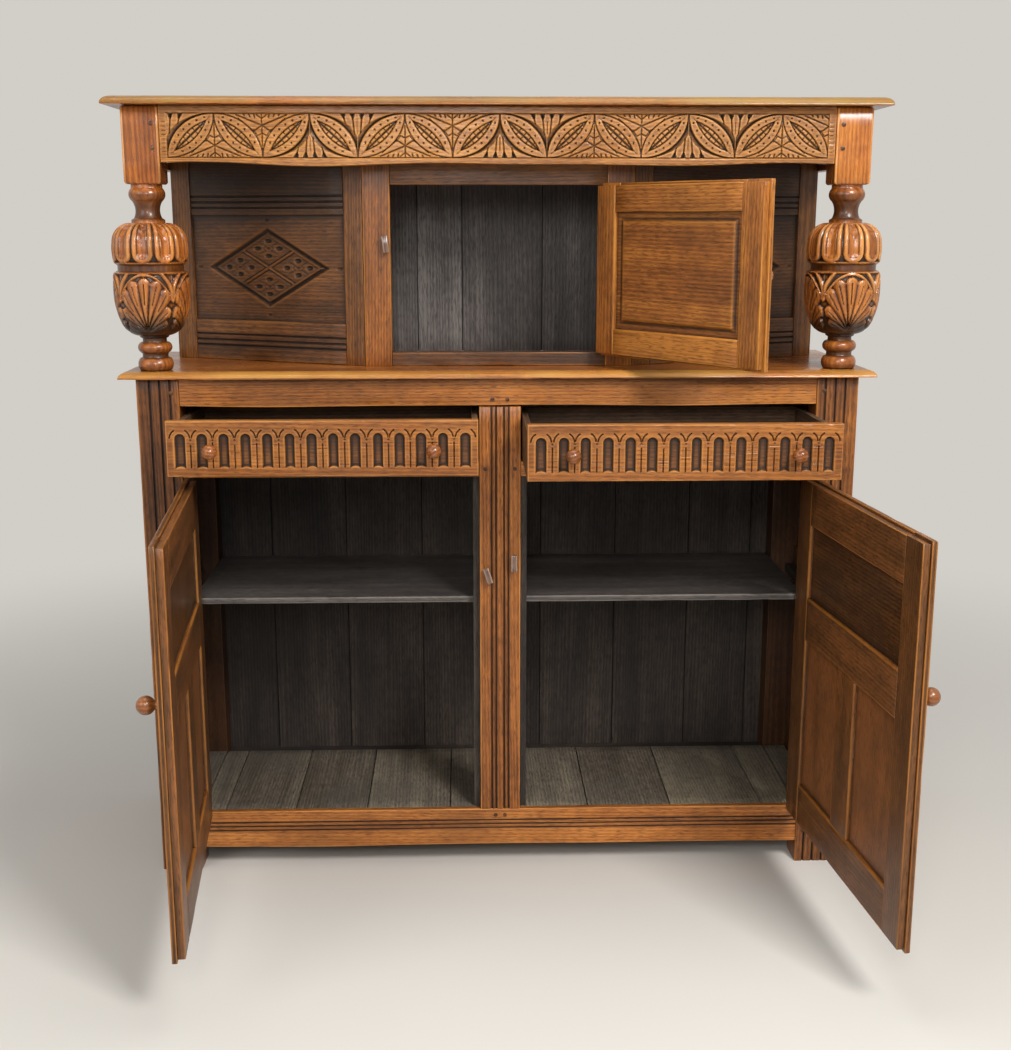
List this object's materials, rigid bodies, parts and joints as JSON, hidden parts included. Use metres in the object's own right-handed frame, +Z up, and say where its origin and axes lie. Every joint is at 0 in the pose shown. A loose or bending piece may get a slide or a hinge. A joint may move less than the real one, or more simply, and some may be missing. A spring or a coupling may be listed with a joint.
{
  "type": "court cupboard",
  "caption": "Tall oak cupboard: a canopy on turned columns over a splayed central cupboard, drawers and panelled doors below, standing on square posts.",
  "frame": {"origin": "centre of the underside of the front left foot", "axes": "+X along the front to the right, +Y to the back, +Z up"},
  "size_m": [1.365, 0.928, 1.43],
  "materials": {
    "carcase_oak": "wax polished, carved, dark in the recesses",
    "top_oak": "wax polished",
    "interior_oak": "dry, stained with age",
    "hinge_iron": "dark, lightly rusted"
  },
  "bodies": {
    "carcase": {"back_boards": "interior_oak", "back_rails": "interior_oak", "canopy_top": "top_oak", "cant_left_stile": "carcase_oak", "cant_panels": "carcase_oak", "cant_rails": "carcase_oak", "cant_right_stile": "carcase_oak", "centre_stile": "carcase_oak", "door_stops": "interior_oak", "drawer_rails": "carcase_oak", "drawer_runners": "interior_oak", "fixed_hinge_halves": "hinge_iron", "floor_boards": "interior_oak", "front_bottom_rail": "carcase_oak", "front_frieze_rail": "carcase_oak", "front_left_post": "carcase_oak", "front_right_post": "carcase_oak", "front_top_rail": "carcase_oak", "left_column": "carcase_oak", "lower_top": "top_oak", "pegs": "carcase_oak", "rear_left_post": "carcase_oak", "rear_right_post": "carcase_oak", "right_column": "carcase_oak", "shelf": "interior_oak", "shelf_and_floor_bearers": "interior_oak", "side_frieze_rails": "carcase_oak", "side_panels": "carcase_oak", "side_rails": "carcase_oak", "upper_back_boards": "interior_oak", "upper_front_rails": "carcase_oak", "upper_left_stile": "carcase_oak", "upper_rear_left_post": "carcase_oak", "upper_rear_right_post": "carcase_oak", "upper_right_stile": "carcase_oak"},
    "left_door": {"left_door_frame": "carcase_oak", "left_door_panels": "carcase_oak", "left_door_knob": "carcase_oak", "left_door_hinges": "hinge_iron"},
    "right_door": {"right_door_frame": "carcase_oak", "right_door_panels": "carcase_oak", "right_door_knob": "carcase_oak", "right_door_hinges": "hinge_iron"},
    "upper_door": {"upper_door_frame": "carcase_oak", "upper_door_panel": "carcase_oak", "upper_door_knob": "carcase_oak", "upper_door_hinges": "hinge_iron"},
    "left_drawer": {"left_drawer_front": "carcase_oak", "left_drawer_box": "interior_oak", "left_drawer_knobs": "carcase_oak"},
    "right_drawer": {"right_drawer_front": "carcase_oak", "right_drawer_box": "interior_oak", "right_drawer_knobs": "carcase_oak"},
    "left_turn_button": {"left_button": "carcase_oak"},
    "right_turn_button": {"right_button": "carcase_oak"},
    "upper_turn_button": {"upper_button": "carcase_oak"}
  },
  "joints": [
    {"name": "left_door_hinge", "type": "hinge", "parent": "carcase", "child": "left_door", "pos_m": [0.03925, -0.0445, 0.442], "axis": [0, 0, -1], "range_deg": [-84.4, 20]},
    {"name": "right_door_hinge", "type": "hinge", "parent": "carcase", "child": "right_door", "pos_m": [1.18475, -0.0445, 0.442], "axis": [0, 0, 1], "range_deg": [-95.6, 10]},
    {"name": "upper_door_hinge", "type": "hinge", "parent": "carcase", "child": "upper_door", "pos_m": [0.80625, 0.0295, 1.1355], "axis": [0, 0, 1], "range_deg": [-127, 23]},
    {"name": "left_drawer_slide", "type": "slide", "parent": "carcase", "child": "left_drawer", "axis": [0, -1, 0], "range_m": [-0.142, 0.09]},
    {"name": "right_drawer_slide", "type": "slide", "parent": "carcase", "child": "right_drawer", "axis": [0, -1, 0], "range_m": [-0.203, 0.03]},
    {"name": "left_button_pivot", "type": "hinge", "parent": "carcase", "child": "left_turn_button", "pos_m": [0.5865, -0.031, 0.592], "axis": [0, -1, 0], "range_deg": [-90, 90]},
    {"name": "right_button_pivot", "type": "hinge", "parent": "carcase", "child": "right_turn_button", "pos_m": [0.6375, -0.031, 0.616], "axis": [0, -1, 0], "range_deg": [-90, 90]},
    {"name": "upper_button_pivot", "type": "hinge", "parent": "carcase", "child": "upper_turn_button", "pos_m": [0.4065, 0.043, 1.19], "axis": [0, -1, 0], "range_deg": [-90, 90]}
  ]
}
